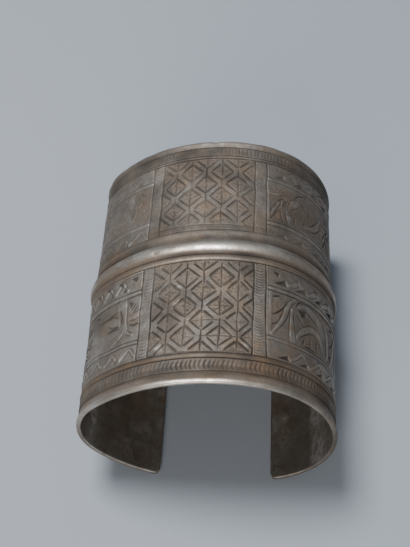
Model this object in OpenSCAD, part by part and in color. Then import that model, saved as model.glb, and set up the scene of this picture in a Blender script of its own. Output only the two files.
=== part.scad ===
// Wide open cuff bracelet of sheet silver, lying with its gap down on its two ends.
// The hollow runs along Y, the near rim is at the lowest Y, and the ends stand on Z = 0.
// Distances called "at" are measured from the near rim along the length.

/* [Size] */
// Length along the forearm, from rim to rim
cuff_length = 75.5; // [68:0.5:85]
// Thickness of the silver sheet
wall = 0.9; // [0.7:0.05:1.2]
// Rounding of the four corners of the ends
corner_r = 1.6; // [0.8:0.1:2]

/* [Section] */
// Outer radius across the top
crown_r = 39.9; // [38:0.1:42]
// Turn of the top arc to the left of its middle, in degrees
crown_left = 40.6; // [38:0.1:43]
// Turn of the top arc to the right of its middle, in degrees
crown_right = 20.5; // [18:0.1:23]
// Outer radius of the left shoulder
shoulder_left_r = 17.0; // [16:0.1:19]
// Turn of the left shoulder, in degrees
shoulder_left = 78.9; // [76:0.1:82]
// Outer radius of the right shoulder
shoulder_right_r = 25.9; // [24.5:0.1:27]
// Turn of the right shoulder, in degrees
shoulder_right = 80.2; // [78:0.1:83]
// Outer radius of the left leg, down to the gap
leg_left_r = 35.7; // [33:0.1:38]
// Turn of the left leg, in degrees
leg_left = 31.3; // [28:0.1:33]
// Outer radius of the right leg, down to the gap
leg_right_r = 21.9; // [20:0.1:23]
// Turn of the right leg, in degrees
leg_right = 68.9; // [64:0.1:70]

/* [Rims] */
// How far the rounded rims stand out from the sheet
rim_rise = 0.35; // [0.2:0.05:0.5]

/* [Rib] */
// Place of the middle of the rib
rib_at = 39.3; // [37:0.1:42]
// Width of the rib
rib_w = 4.6; // [4:0.1:5.2]
// Height of the rib over the sheet
rib_rise = 1.0; // [0.7:0.05:1.3]

/* [Chasing] */
// Height of the raised fillets
fillet_rise = 0.14; // [0.08:0.02:0.24]
// Depth of the border grooves
groove_depth = 0.25; // [0.15:0.05:0.35]

/* [Hidden] */

chord_error = 0.04;                          // how far a flat facet may fall inside its arc
rim_r = (wall + rim_rise) / 2;               // each rim is rounded to this radius
rib_r = (rib_w * rib_w / 4 + rib_rise * rib_rise) / (2 * rib_rise);
rib_half_turn = asin(rib_w / (2 * rib_r));
rib_near = rib_at - rib_w / 2;
rib_far = rib_at + rib_w / 2;

// Arcs from the middle of the top down each side, each tangent to the one before: radius, turn
right_arcs = [[crown_r, crown_right], [shoulder_right_r, shoulder_right], [leg_right_r, leg_right]];
left_arcs = [[crown_r, crown_left], [shoulder_left_r, shoulder_left], [leg_left_r, leg_left]];

// The sheet swells a little towards the rib and is narrower beyond it: at, offset
sheet_line = [[0, 0], [20, 0.05], [30, 0.2], [rib_near, 0.3], [rib_far, -0.1], [57, -0.2], [cuff_length, -0.25]];

// Outer face between the near rim and the rib, then from the rib to the far rim: at, height over the sheet
near_band = [[1.3, 0], [3, 0], [3.3, -groove_depth], [3.6, 0],
             [6.3, 0], [6.6, -groove_depth], [6.9, fillet_rise], [7.8, fillet_rise], [8.1, -groove_depth], [8.4, 0],
             [20, 0], [30, 0],
             [rib_near - 2.5, 0], [rib_near - 2.2, -groove_depth], [rib_near - 1.9, fillet_rise],
             [rib_near - 0.7, fillet_rise], [rib_near - 0.3, -groove_depth]];
far_band = [[rib_far + 0.4, -groove_depth], [rib_far + 0.8, fillet_rise], [rib_far + 2.6, fillet_rise],
            [rib_far + 2.9, -groove_depth], [rib_far + 3.2, 0],
            [57, 0],
            [cuff_length - 6.9, 0], [cuff_length - 6.6, -groove_depth], [cuff_length - 6.3, fillet_rise],
            [cuff_length - 5.4, fillet_rise], [cuff_length - 5.1, -groove_depth], [cuff_length - 4.8, 0],
            [cuff_length - 2.5, 0], [cuff_length - 2.2, -groove_depth], [cuff_length - 1.9, 0],
            [cuff_length - 1.3, 0]];
// Points of the inner face: at
inner_at = [1.4, 3.3, 7.3, 20, rib_near - 1.4, rib_at, rib_far + 1.7, 57, cuff_length - 5.9, cuff_length - 2.2,
            cuff_length - 1.4];

// Rounded edge of a rim, from the inner face to the outer one: distance from the rim's edge, height
rim_edge = [for (a = [-90 : 30 : 90]) [rim_r * (1 - cos(a)), rim_rise - rim_r + rim_r * sin(a)]];
// Rib's outline, across its width
rib_line = [for (k = [-0.96 : 0.32 : 0.96]) let (a = k * rib_half_turn)
    [rib_at + rib_r * sin(a), rib_rise - rib_r + rib_r * cos(a)]];

outer_line = concat(rim_edge, near_band, rib_line, far_band,
    [for (i = [len(rim_edge) - 1 : -1 : 0]) [cuff_length - rim_edge[i][0], rim_edge[i][1]]]);
inner_line = [for (at = inner_at) [at, -wall]];
outer_count = len(outer_line);
inner_count = len(inner_line);
loop_line = concat(outer_line, [for (i = [inner_count - 1 : -1 : 0]) inner_line[i]]);
loop_count = len(loop_line);

function turned(p, a) = [p.x * cos(a) - p.y * sin(a), p.x * sin(a) + p.y * cos(a)];
function flipped(p, side) = [side * p.x, p.y];
function outward(a) = [sin(a), cos(a)];
function arc_start(arcs, i) = i == 0 ? 0 : arc_start(arcs, i - 1) + arcs[i - 1][1];
function centre(arcs, i) = i == 0 ? [0, 0]
    : centre(arcs, i - 1) + (arcs[i - 1][0] - arcs[i][0]) * outward(arc_start(arcs, i));
function tip(arcs) = centre(arcs, 2) + arcs[2][0] * outward(arc_start(arcs, 3));
function steps(arc) = ceil(arc[1] / (2 * acos(1 - chord_error / arc[0])));

// Both ends reach the same height once the section is turned by the angle between them
ends = tip(right_arcs) - flipped(tip(left_arcs), -1);
lean = -atan2(ends.y, ends.x);
right_side = turned(centre(right_arcs, 1), lean).x + shoulder_right_r;
left_side = turned(flipped(centre(left_arcs, 1), -1), lean).x - shoulder_left_r;
middle_x = (right_side + left_side) / 2;
foot_z = turned(tip(right_arcs), lean).y;

// Stations down one side, without the middle of the top: side, centre, radius, angle, 1 at the end
function stations(arcs, side) = [for (i = [0 : 2], k = [1 : steps(arcs[i])])
    [side, centre(arcs, i), arcs[i][0], arc_start(arcs, i) + arcs[i][1] * k / steps(arcs[i]),
     i == 2 && k == steps(arcs[i]) ? 1 : 0]];
left_stations = stations(left_arcs, -1);
all_stations = concat([for (i = [len(left_stations) - 1 : -1 : 0]) left_stations[i]],
    [[1, [0, 0], crown_r, 0, 0]], stations(right_arcs, 1));
station_count = len(all_stations);

// How far the rounded corner holds the end back at one place along the length
function held_back(at) = let (d = min(at, cuff_length - at))
    d < corner_r ? corner_r - sqrt(corner_r * corner_r - (corner_r - d) * (corner_r - d)) : 0;

// One point of the wall. The ends are worn flat where the cuff stands on them, at Z = 0
function wall_point(s, p) = let (
    angle = s[3] - s[4] * held_back(p[0]) / s[2] * 180 / PI,
    reach = s[2] + lookup(p[0], sheet_line) + p[1],
    q = turned(flipped(s[1] + reach * outward(angle), s[0]), lean))
    [q.x - middle_x, p[0] - cuff_length / 2, max(q.y - foot_z, 0)];

// The inner point that lies beside outer point k
function beside(k, m = 0) = m < inner_count - 1
    && outer_line[k][0] > (inner_at[m] + inner_at[m + 1]) / 2 ? beside(k, m + 1) : m;
// Triangles that close one end, between the outer line and the inner one
end_cap = [for (k = [0 : outer_count - 2]) each concat(
    [[k, k + 1, loop_count - 1 - beside(k)]],
    [for (m = [beside(k) : 1 : beside(k + 1) - 1]) [k + 1, loop_count - 2 - m, loop_count - 1 - m]])];

module cuff() {
    color([0.58, 0.55, 0.51]) polyhedron(
        points = [for (s = all_stations, p = loop_line) wall_point(s, p)],
        faces = concat(
            [for (j = [0 : station_count - 2], k = [0 : loop_count - 1]) let (n = (k + 1) % loop_count)
                [j * loop_count + k, j * loop_count + n, (j + 1) * loop_count + n, (j + 1) * loop_count + k]],
            [for (t = end_cap) [t[2], t[1], t[0]]],
            [for (t = end_cap) [for (v = t) v + (station_count - 1) * loop_count]]));
}

cuff();
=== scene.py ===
import math
import random

import bmesh
import bpy
import numpy as np
from mathutils import Matrix, Vector


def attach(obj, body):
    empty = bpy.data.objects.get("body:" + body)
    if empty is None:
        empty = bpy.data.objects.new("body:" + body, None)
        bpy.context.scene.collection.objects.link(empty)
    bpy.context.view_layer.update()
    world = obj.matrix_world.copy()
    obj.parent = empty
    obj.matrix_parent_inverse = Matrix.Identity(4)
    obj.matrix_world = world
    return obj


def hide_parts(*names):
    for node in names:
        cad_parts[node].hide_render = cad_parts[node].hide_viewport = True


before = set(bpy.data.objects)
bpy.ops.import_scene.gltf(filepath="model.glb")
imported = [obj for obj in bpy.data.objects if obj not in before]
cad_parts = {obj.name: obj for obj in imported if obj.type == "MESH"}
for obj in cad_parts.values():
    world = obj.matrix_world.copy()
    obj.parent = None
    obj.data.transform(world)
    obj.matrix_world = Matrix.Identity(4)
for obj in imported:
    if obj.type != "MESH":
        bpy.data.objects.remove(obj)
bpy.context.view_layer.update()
mm = 0.001

# The cuff is worked flat, as the smith did, and rolled afterwards. In the flat state x is the way
# round the wrist from the middle of the top (right is plus), y the distance from the near rim and
# z the height over the sheet, all in millimetres.

section = {
    "length": 75.5,
    "wall": 0.9,
    "cornerRadius": 1.6,
    "cornerZone": 3,  # the last of each end, which is squeezed to round its corners
    "rightArcs": [(39.9, 20.5), (25.9, 80.2), (21.9, 68.9)],  # radius, turn in degrees
    "leftArcs": [(39.9, 40.6), (17, 78.9), (35.7, 31.3)],
    "swellAt": [0, 20, 30, 37, 41.6, 57, 75.5],  # the sheet swells towards the rib
    "swell": [0, 0.05, 0.2, 0.3, -0.1, -0.2, -0.25],
}


def outward(angle):
    return np.stack([np.sin(angle), np.cos(angle)], -1)


def arcRun(arcs):
    runs, centre, start, along, lastRadius = [], np.zeros(2), 0, 0, arcs[0][0]
    for radius, turn in arcs:
        centre = centre + (lastRadius - radius) * outward(np.float64(start))
        runs.append((along, centre, radius, start))
        along += radius * math.radians(turn)
        start += math.radians(turn)
        lastRadius = radius
    return runs, along, centre + radius * outward(np.float64(start))


rightRuns, rightEnd, rightTip = arcRun(section["rightArcs"])
leftRuns, leftEnd, leftTip = arcRun(section["leftArcs"])
tipGap = rightTip - leftTip * [-1, 1]
lean = -math.atan2(tipGap[1], tipGap[0])  # brings both ends to the same height
leanTurn = np.array([[math.cos(lean), -math.sin(lean)], [math.sin(lean), math.cos(lean)]])
rightSide = (leanTurn @ rightRuns[1][1])[0] + rightRuns[1][2]
leftSide = (leanTurn @ (leftRuns[1][1] * [-1, 1]))[0] - leftRuns[1][2]
sectionShift = np.array([(rightSide + leftSide) / 2, (leanTurn @ rightTip)[1]])


def heldBack(at):
    # how far the rounded corners hold the ends back
    radius = section["cornerRadius"]
    d = np.clip(np.minimum(at, section["length"] - at), 0, radius)
    return radius - np.sqrt(radius ** 2 - (radius - d) ** 2)


def rollUp(flat):
    x, y, z = flat.T
    reach, zone = np.abs(x), section["cornerZone"]
    for sign, end in ((1, rightEnd), (-1, leftEnd)):
        inZone = (x * sign > end - zone)
        squeeze = (zone - heldBack(y)) / zone
        reach = np.where(inZone, end - zone + (reach - end + zone) * squeeze, reach)
    points = np.zeros((len(x), 2))
    for runs, side in ((rightRuns, 1), (leftRuns, -1)):
        for along, centre, radius, start in runs:
            onArc = (x * side >= 0) & (reach >= along)
            angle = start + (reach[onArc] - along) / radius
            lift = z[onArc] + np.interp(y[onArc], section["swellAt"], section["swell"])
            points[onArc] = (centre + (radius + lift)[:, None] * outward(angle)) * [side, 1]
    points = points @ leanTurn.T - sectionShift
    rolled = np.stack([points[:, 0], y - section["length"] / 2, np.maximum(points[:, 1], 0)], -1)
    return rolled * mm


def unit(values):
    return np.clip(values, 0, 1)


def waviness(x, y, size, seed):
    # smooth value noise of about -1 to 1, the same on every piece
    n = 64
    table = np.random.RandomState(seed).uniform(-1, 1, (n, n))
    gx, gy = x / size + 31.7, y / size + 17.3
    ix, iy = np.floor(gx).astype(int), np.floor(gy).astype(int)
    fx, fy = gx - ix, gy - iy
    fx, fy = fx * fx * (3 - 2 * fx), fy * fy * (3 - 2 * fy)
    a, b = table[iy % n, ix % n], table[iy % n, (ix + 1) % n]
    c, d = table[(iy + 1) % n, ix % n], table[(iy + 1) % n, (ix + 1) % n]
    return (a * (1 - fx) + b * fx) * (1 - fy) + (c * (1 - fx) + d * fx) * fy


# Waves that the hammer and long wear left in the sheet: height, size, seed
sheetWaves = [(0.035, 6.5, 3), (0.016, 2.3, 4), (0.006, 0.7, 5)]
wallWaves = [(0.05, 5, 7), (0.02, 1.9, 8)]


def hammered(x, y, waves):
    return sum(height * waviness(x, y, size, seed) for height, size, seed in waves)


def smoothPath(points, steps=6):
    # marks of the graver and the punch follow a curve through the given points
    p = np.array(points, float)
    if len(p) < 3:
        return p
    ends = np.vstack([2 * p[0] - p[1], p, 2 * p[-1] - p[-2]])
    t = np.linspace(0, 1, steps, endpoint=False)[:, None]
    parts = []
    for a, b, c, d in zip(ends, ends[1:], ends[2:], ends[3:]):
        parts.append(0.5 * (2 * b + (c - a) * t + (2 * a - 5 * b + 4 * c - d) * t ** 2
                            + (3 * b - a - 3 * c + d) * t ** 3))
    return np.vstack(parts + [p[-1:]])


def stroke(points, width=0.4, deep=0.2, taper=0.5, dirt=1, lean=0):
    # a cut along a line: taper 0 keeps its width to the ends, lean makes one end the wider
    return {"path": smoothPath(points), "width": width, "deep": deep, "taper": taper,
            "dirt": dirt, "lean": lean}


def leaf(points, halves, rise=0.07, outline=0.46):
    # a raised ribbon with a chased line down each side; halves are its half widths on the way
    path = smoothPath(points)
    half = np.interp(np.linspace(0, 1, len(path)), np.linspace(0, 1, len(halves)), halves)
    along = np.gradient(path, axis=0)
    across = np.stack([-along[:, 1], along[:, 0]], -1) / np.linalg.norm(along, axis=1)[:, None]
    chased = []
    for side in (1, -1):
        line = path + side * across * (half + 0.12)[:, None]
        chased.append({"path": line, "width": outline, "deep": 0.17, "taper": 0.3, "dirt": 0.95,
                       "lean": 0})
    return {"path": path, "half": half, "rise": rise, "sides": chased}


def punched(corners, deep=0.22, dirt=0.95):
    # a hollow with straight sides
    return {"corners": np.array(corners, float), "deep": deep, "dirt": dirt}


def nearestOn(path, q):
    # distance to the path and share of the way along it
    spans = np.diff(path, axis=0)
    lengths = np.maximum(np.linalg.norm(spans, axis=1), 1e-9)
    total, before = lengths.sum(), 0.0
    best, along = np.full(len(q), 1e9), np.zeros(len(q))
    for start, span, length in zip(path, spans, lengths):
        t = np.clip((q - start) @ span / length ** 2, 0, 1)
        d = np.linalg.norm(q - start - t[:, None] * span, axis=1)
        closer = d < best
        best[closer] = d[closer]
        along[closer] = (before + t[closer] * length) / total
        before += length
    return best, along


def pointsNear(flat, path, reach):
    low, high = path.min(0) - reach, path.max(0) + reach
    return np.nonzero((flat[:, 0] > low[0]) & (flat[:, 0] < high[0])
                      & (flat[:, 1] > low[1]) & (flat[:, 1] < high[1]))[0]


def cutStrokes(where, strokes, depth, dirt):
    for s in strokes:
        near = pointsNear(where, s["path"], s["width"] * 0.7 + 0.1)
        if not len(near):
            continue
        best, along = nearestOn(s["path"], where[near])
        swell = np.sin(math.pi * unit(along)) ** s["taper"] if s["taper"] else np.ones(len(near))
        half = np.maximum(s["width"] / 2 * swell * (1 + s["lean"] * (2 * along - 1)), 1e-3)
        cut = s["deep"] * swell * (0.5 + 0.5 * np.cos(math.pi * unit(best / half)))
        depth[near] = np.maximum(depth[near], cut)
        spread = unit(1.8 - 1.6 * best / half) * s["dirt"] * np.minimum(1, 1.6 * swell)
        dirt[near] = np.maximum(dirt[near], spread)


def raiseLeaves(where, leaves, height, clean):
    for f in leaves:
        near = pointsNear(where, f["path"], f["half"].max() + 0.3)
        if not len(near):
            continue
        best, along = nearestOn(f["path"], where[near])
        half = np.interp(along, np.linspace(0, 1, len(f["half"])), f["half"])
        inside = unit((half + 0.15 - best) / 0.3)
        dome = f["rise"] * unit(1 - (best / (half + 0.2)) ** 2) ** 0.6
        height[near] = np.maximum(height[near], dome)
        clean[near] = np.maximum(clean[near], inside)


def punchHollows(where, hollows, depth, dirt):
    for h in hollows:
        near = pointsNear(where, h["corners"], 0.1)
        if not len(near):
            continue
        q, inner = where[near], np.full(len(near), 1e9)
        loop = np.vstack([h["corners"], h["corners"][:1]])
        turn = np.sign(np.cross(loop[1] - loop[0], loop[2] - loop[1]))
        for a, b in zip(loop, loop[1:]):
            edge = (b - a) / np.linalg.norm(b - a)
            inner = np.minimum(inner, turn * (edge[0] * (q[:, 1] - a[1]) - edge[1] * (q[:, 0] - a[0])))
        depth[near] = np.maximum(depth[near], h["deep"] * unit(inner / 0.3))
        dirt[near] = np.maximum(dirt[near], h["dirt"] * unit(inner / 0.15 + 0.2))


# The two lattices: columns and rows of the straps' crossings, and scribed guide lines (y, from, to)
lattices = {
    "lower": {
        "columns": [-11.3, -7.1, -2.9, 1.35, 5.55, 9.75, 13.6],
        "rows": [8.6, 12.8, 17.1, 21.3, 25.8, 29.8, 34.4],
        "low": 8.5, "high": 34.6, "left": -11.6, "right": 13.35, "firstNode": 0, "gap": 0.16,
        "seed": 11,
        "guides": [(12.8, 0.2, 13.2), (17.1, -1.2, 6.8), (17, 9.2, 13.2), (21.4, 3.2, 8.8),
                   (8.9, 6, 12), (25.8, -8.4, -5.6)]},
    "upper": {
        "columns": [-11.9, -7.8, -3.7, 0.4, 4.6, 8.8, 13],
        "rows": [47.8, 52, 56.3, 60.4, 64.7, 69],
        "low": 46.6, "high": 69.3, "left": -11.8, "right": 13.1, "firstNode": 1, "gap": 0.08,
        "seed": 12,
        "guides": [(52, -10.8, -6), (64.8, 3.2, 6.2), (60.4, 7.4, 10.6)]},
}


# How the chisel outlines the diamonds, and the finer lines up the columns and along the guides
chisel = {"halfX": (2.95, 3.2), "halfY": (2.9, 3.15), "overlap": 0.05, "jog": 0.1, "margin": 0.3,
          "width": (0.6, 0.9), "deep": (0.2, 0.32), "taper": 0.2, "dirt": (0.75, 1), "lean": 0.35}
scriber = {"length": (3, 9), "gap": (0, 0.5), "wander": 0.06, "width": (0.32, 0.5),
           "deep": (0.12, 0.22), "taper": 0.25, "dirt": (0.65, 1), "guide": (0.34, 0.12, 0.25, 0.7)}


def latticeCuts(band):
    # chisel strokes that outline the diamonds between the straps, and the scribed guide lines
    rnd = random.Random(band["seed"])
    strokes, diamonds = [], []
    for i, x in enumerate(band["columns"]):
        for j, y in enumerate(band["rows"]):
            if (i + j) % 2 == band["firstNode"]:
                continue
            halfX, halfY = rnd.uniform(*chisel["halfX"]), rnd.uniform(*chisel["halfY"])
            diamonds.append((x, y, halfX, halfY, rnd.uniform(0, 1)))
            for sx, sy in ((1, 1), (1, -1), (-1, 1), (-1, -1)):
                gapA = rnd.uniform(-chisel["overlap"], band["gap"])
                gapB = rnd.uniform(-chisel["overlap"], band["gap"])
                jog = rnd.uniform(-chisel["jog"], chisel["jog"])
                a = (x + sx * (halfX * (1 - gapA) + jog), y + sy * (halfY * gapA))
                b = (x + sx * (halfX * gapB + jog), y + sy * (halfY * (1 - gapB)))
                middle, margin = ((a[0] + b[0]) / 2, (a[1] + b[1]) / 2), chisel["margin"]
                if not (band["left"] + margin < middle[0] < band["right"] - margin
                        and band["low"] + margin < middle[1] < band["high"] - margin):
                    continue
                strokes.append(stroke([a, b], rnd.uniform(*chisel["width"]),
                                      rnd.uniform(*chisel["deep"]), chisel["taper"],
                                      rnd.uniform(*chisel["dirt"]),
                                      rnd.uniform(-chisel["lean"], chisel["lean"])))
    strokes += bandLines(band["left"], band["right"], [(band["low"] - 0.1, 0.4, 0.2)])
    for x in band["columns"][1:-1]:
        y = band["low"] + rnd.uniform(0, 1)
        while y < band["high"] - 1:
            top = min(y + rnd.uniform(*scriber["length"]), band["high"])
            wander = rnd.uniform(-scriber["wander"], scriber["wander"])
            strokes.append(stroke([(x + wander, y), (x - wander, top)], rnd.uniform(*scriber["width"]),
                                  rnd.uniform(*scriber["deep"]), scriber["taper"],
                                  rnd.uniform(*scriber["dirt"])))
            y = top + rnd.uniform(*scriber["gap"])
    for y, x0, x1 in band["guides"]:
        strokes.append(stroke([(x0, y - 0.1), ((x0 + x1) / 2, y + 0.06), (x1, y)], *scriber["guide"]))
    return strokes, diamonds


# The ladder strips beside the lattices; keen says how much wear has left of the rungs, going up
ladders = {
    "lower": [
        {"left": (-14.6, -14.6), "right": (-11.6, -11.6), "low": 8.3, "high": 34.8, "pitch": 0.95,
         "relief": 0.9, "keen": [0.9, 1, 0.7, 0.15, 0.3, 0.2, 0.5, 0.6, 0.6, 0.3], "seed": 21},
        {"left": (13.4, 13.4), "right": (17, 16.3), "low": 8.3, "high": 34.8, "pitch": 0.8,
         "relief": 1.1, "keen": [0.5, 0.4, 0.9, 0.8, 0.25, 0.5, 0.3, 0.9, 1, 1, 0.5], "seed": 22}],
    "upper": [
        {"left": (-14.8, -14.8), "right": (-11.75, -11.75), "low": 45.2, "high": 69.4, "pitch": 0.9,
         "relief": 0.5, "keen": [0.3, 0.2, 0.2, 0.5, 0.3, 0.6, 0.8, 0.5], "seed": 23},
        {"left": (13.25, 13.25), "right": (16.4, 16.4), "low": 45.2, "high": 69.4, "pitch": 0.8,
         "relief": 0.5, "keen": [0.4, 0.3, 0.4, 0.8, 1, 0.9, 0.5, 0.4], "seed": 24}],
}


rails = {"bend": 0.08, "cut": (0.5, 0.26, 0)}
rungs = {"inset": (0.35, 0.3), "sag": (0.25, 0.5), "width": 0.36, "deep": 0.2, "taper": 0.3,
         "dirt": 0.75, "spacing": (0.88, 1.12)}


def ladderCuts(ladder):
    rnd = random.Random(ladder["seed"])
    low, high = ladder["low"], ladder["high"]
    strokes = []
    for side in ("left", "right"):
        a, b = ladder[side]
        bend = rnd.uniform(-rails["bend"], rails["bend"])
        middle = ((a + b) / 2 + bend, (low + high) / 2)
        strokes.append(stroke([(a, low), middle, (b, high)], *rails["cut"]))
    y = low + 0.5
    while y < high - 0.4:
        t = (y - low) / (high - low)
        xa = ladder["left"][0] * (1 - t) + ladder["left"][1] * t + rungs["inset"][0]
        xb = ladder["right"][0] * (1 - t) + ladder["right"][1] * t - rungs["inset"][1]
        keen = ladder["relief"] * np.interp(t, np.linspace(0, 1, len(ladder["keen"])), ladder["keen"])
        sag = rnd.uniform(*rungs["sag"])
        strokes.append(stroke([(xa, y + sag), ((xa + xb) / 2, y), (xb, y + sag)], rungs["width"],
                              rungs["deep"] * keen, rungs["taper"], rungs["dirt"] * keen))
        y += ladder["pitch"] * rnd.uniform(*rungs["spacing"])
    return strokes


friezeEnds = (-67, 71)


def bandLines(x0, x1, rows, wander=0.05, seed=5):
    rnd = random.Random(seed)
    strokes = []
    for y, width, deep in rows:
        xs = np.linspace(x0, x1, max(3, int(abs(x1 - x0) / 7)))
        strokes.append(stroke([(x, y + rnd.uniform(-wander, wander)) for x in xs], width, deep, 0,
                              min(1, 4.2 * deep)))
    return strokes


def sawTeeth(first, base, tall, wide, pitch, seed, keen=1):
    # dark right-angled triangles punched along one side of a frieze, their steep side to the right
    rnd = random.Random(seed)
    hollows = []
    x, way = first, math.copysign(1, first)
    while friezeEnds[0] + wide < x < friezeEnds[1] - 1:
        peak, foot = tall * rnd.uniform(0.85, 1.1), wide * rnd.uniform(0.9, 1.08)
        hollows.append(punched([(x - foot, base), (x, base + peak), (x + 0.5, base)],
                               rnd.uniform(0.22, 0.3) * keen, 0.95 * keen))
        x += way * pitch * rnd.uniform(0.95, 1.05)
    return hollows


def ridges(x0, x1, rows, seed):
    # the narrow raised line left between two cut ones
    rnd, raised = random.Random(seed), []
    for y, half, rise in rows:
        xs = np.linspace(x0, x1, max(3, int(abs(x1 - x0) / 7)))
        raised.append(leaf([(x, y + rnd.uniform(-0.05, 0.05)) for x in xs], [half, half], rise))
        raised[-1]["sides"] = []
    return raised


def zigzag(first, low, high, pitch, wide, seed, rise=0.09, outline=0.3):
    # the raised ribbon that runs up and down between the teeth
    rnd = random.Random(seed)
    ribbons, x, way = [], first, math.copysign(1, first)
    while friezeEnds[0] + 1 < x < friezeEnds[1] - pitch + 0.1:
        top, tall = x + pitch * rnd.uniform(0.66, 0.76), high - low
        ribbons.append(leaf([(x + 0.8, low), (x + 0.42 * pitch, low + 0.45 * tall), (top, high - 0.1),
                             (x + pitch * 0.92, low + 0.4 * tall), (x + pitch + 0.5, low - 0.1)],
                            [0.3, wide, wide, wide, 0.3], rise, outline))
        x += way * pitch * rnd.uniform(0.98, 1.02)
    return ribbons


# One length of the foliage on each side: leaves with their half widths, then single strokes
lowerRightFoliage = {
    "cut": (0.08, 0.5, 0.66),
    "leaves": [
        ([(18.2, 15.2), (20, 18.1), (21.5, 21.6), (22.6, 25), (24.4, 27)],
         [0.3, 0.5, 0.7, 0.6, 0.3]),
        ([(23.6, 23.8), (23.5, 20.5), (23.7, 16.8), (23.8, 15.2)], [0.3, 0.5, 0.85, 0.8]),
        ([(25.4, 25.4), (28, 26.2), (31, 25.2), (33.4, 24)], [0.4, 0.9, 1.4, 1.1]),
        ([(25.4, 16.8), (27.2, 19), (29.4, 20.4), (31.4, 20.7), (33.4, 19.8), (34.6, 17.2)],
         [0.4, 0.85, 0.95, 0.95, 0.8, 0.5]),
        ([(35.2, 25.6), (37, 22.8), (37.4, 19.4), (36.8, 16)], [0.3, 0.7, 0.7, 0.3]),
    ],
    "strokes": [
        [(18.2, 25.9), (20.4, 26.8)], [(18, 20.8), (18.9, 21.2), (20.9, 23.2), (22.7, 26)],
        [(18.2, 17.7), (19.7, 18.9)], [(24.7, 25), (25.9, 27), (27.5, 27.4)],
        [(25, 22.8), (26.8, 21.1), (27.6, 20.5)], [(29.8, 18.3), (29.7, 15.4)],
        [(32.2, 18.8), (32.1, 15.4)], [(27.5, 17), (27, 14.9)],
        [(27.6, 15), (29, 15.3), (31.7, 15)],
    ],
}
lowerLeftFoliage = {
    "cut": (0.09, 0.56, 0.7),
    "leaves": [
        ([(-20.2, 27.2), (-19.7, 24.4), (-19.2, 21.9), (-19, 19.8), (-19, 17.9)],
         [1.2, 0.85, 0.5, 0.5, 1]),
        ([(-25, 22.4), (-23.2, 22), (-21.6, 21.4)], [0.7, 1.4, 0.9]),
        ([(-17.9, 21.3), (-16.4, 21.6), (-15, 22)], [0.5, 1, 0.8]),
        ([(-18.9, 17.9), (-18, 17), (-16.6, 16.2)], [0.5, 0.4, 0.2]),
        ([(-19.4, 17.9), (-20.8, 16.2), (-22.6, 15)], [0.4, 0.3, 0.15]),
    ],
    "strokes": [
        [(-25.4, 19.7), (-23.2, 19.6), (-20.7, 19.5)], [(-25, 19.9), (-23, 20.1), (-20.9, 20.2)],
        [(-18.1, 19.9), (-16.4, 18.9), (-14.8, 19.1)], [(-17.6, 19.6), (-16.4, 19.2), (-15.2, 19.4)],
        [(-21.8, 24.7), (-23.4, 24.1), (-25.2, 23.8), (-27.2, 23.8), (-28.9, 23.5)],
        [(-21.2, 24.9), (-20.5, 22.4), (-20.3, 20.7), (-20.6, 19.4)], [(-18, 22.9), (-16.4, 25)],
        [(-17.4, 22.3), (-15.6, 24.4)], [(-30.4, 26.4), (-28.4, 25.6)],
    ],
}
upperRightFoliage = {
    "cut": (0.05, 0.44, 0.62),
    "leaves": [
        ([(17.9, 52.6), (18.6, 54.4), (19.9, 56.6)], [0.2, 0.5, 0.3]),
        ([(20.6, 55.4), (21.2, 57), (22.2, 58.8)], [0.2, 0.6, 0.3]),
        ([(22.4, 54.9), (22.9, 53.1), (23.6, 50.5)], [0.5, 0.75, 0.75]),
        ([(23.2, 56), (24.6, 58.2), (26.4, 59.6)], [0.5, 1.3, 0.5]),
        ([(17.4, 59.2), (19.5, 59.4), (22.4, 60.5)], [0.2, 0.5, 0.2]),
        ([(28.6, 52.4), (31.4, 53.4), (33.8, 55.8), (35, 58.8)], [0.3, 0.8, 0.9, 0.3]),
    ],
    "strokes": [
        [(17.7, 54.2), (18.6, 55.1), (19.5, 56.6)], [(19.5, 56.8), (20.9, 58.3), (21.9, 58.1)],
        [(20.8, 55.6), (21.5, 57), (22, 58.1)],
        [(24.8, 60.2), (26.1, 61.7), (28.1, 62.6), (29.5, 62.4)],
        [(26.6, 59.5), (28, 58.9), (28.4, 58)], [(24.8, 53.8), (24.9, 51.8), (25.6, 50.7)],
        [(27.6, 53.1), (28.6, 53.5)], [(18.8, 61.9), (19.9, 61.1), (20.8, 61.4)],
        [(17.3, 50.6), (18.6, 52.4), (20, 54.6)], [(20.1, 54.6), (20.6, 52.4), (21, 50.6)],
        [(29.6, 60.2), (30.3, 58.2), (29.9, 56.4)], [(31.4, 61), (32.6, 59.4)],
    ],
}
upperLeftFoliage = {
    "cut": (0.02, 0.3, 0.5),
    "leaves": [
        ([(-21.2, 53.6), (-23.4, 57), (-24.6, 60.6), (-24.2, 62.4)], [0.5, 1.1, 0.8, 0.3]),
        ([(-22, 62.3), (-22, 59.4)], [1, 0.9]),
        ([(-24, 52.4), (-26.6, 52.6), (-28.8, 55)], [0.4, 0.8, 0.3]),
        ([(-21.4, 45.3), (-20.7, 45.7), (-19.9, 46.1)], [0.25, 0.4, 0.25]),
    ],
    "strokes": [
        [(-20.4, 52.6), (-19.6, 55.7), (-19.8, 58.9)], [(-19.8, 51.5), (-18.2, 51.3)],
        [(-22.4, 55.4), (-21.9, 55.9)], [(-19, 62.4), (-17.6, 61.4), (-16.6, 60.2)],
        [(-18.4, 61.6), (-17.4, 60.2)], [(-19.3, 57.4), (-17.6, 58.6)], [(-17.3, 55), (-16.6, 55.6)],
        [(-23.6, 61.6), (-23.2, 62.2)],
    ],
}


def foliage(motif, shift=0):
    rise, outline, wide = motif["cut"]
    leaves = [leaf([(x + shift, y) for x, y in points], halves, rise, outline)
              for points, halves in motif["leaves"]]
    strokes = [stroke([(x + shift, y) for x, y in points], wide, 0.3, 0.3)
               for points in motif["strokes"]]
    for f in leaves:
        strokes += f["sides"]
    return leaves, strokes


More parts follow.
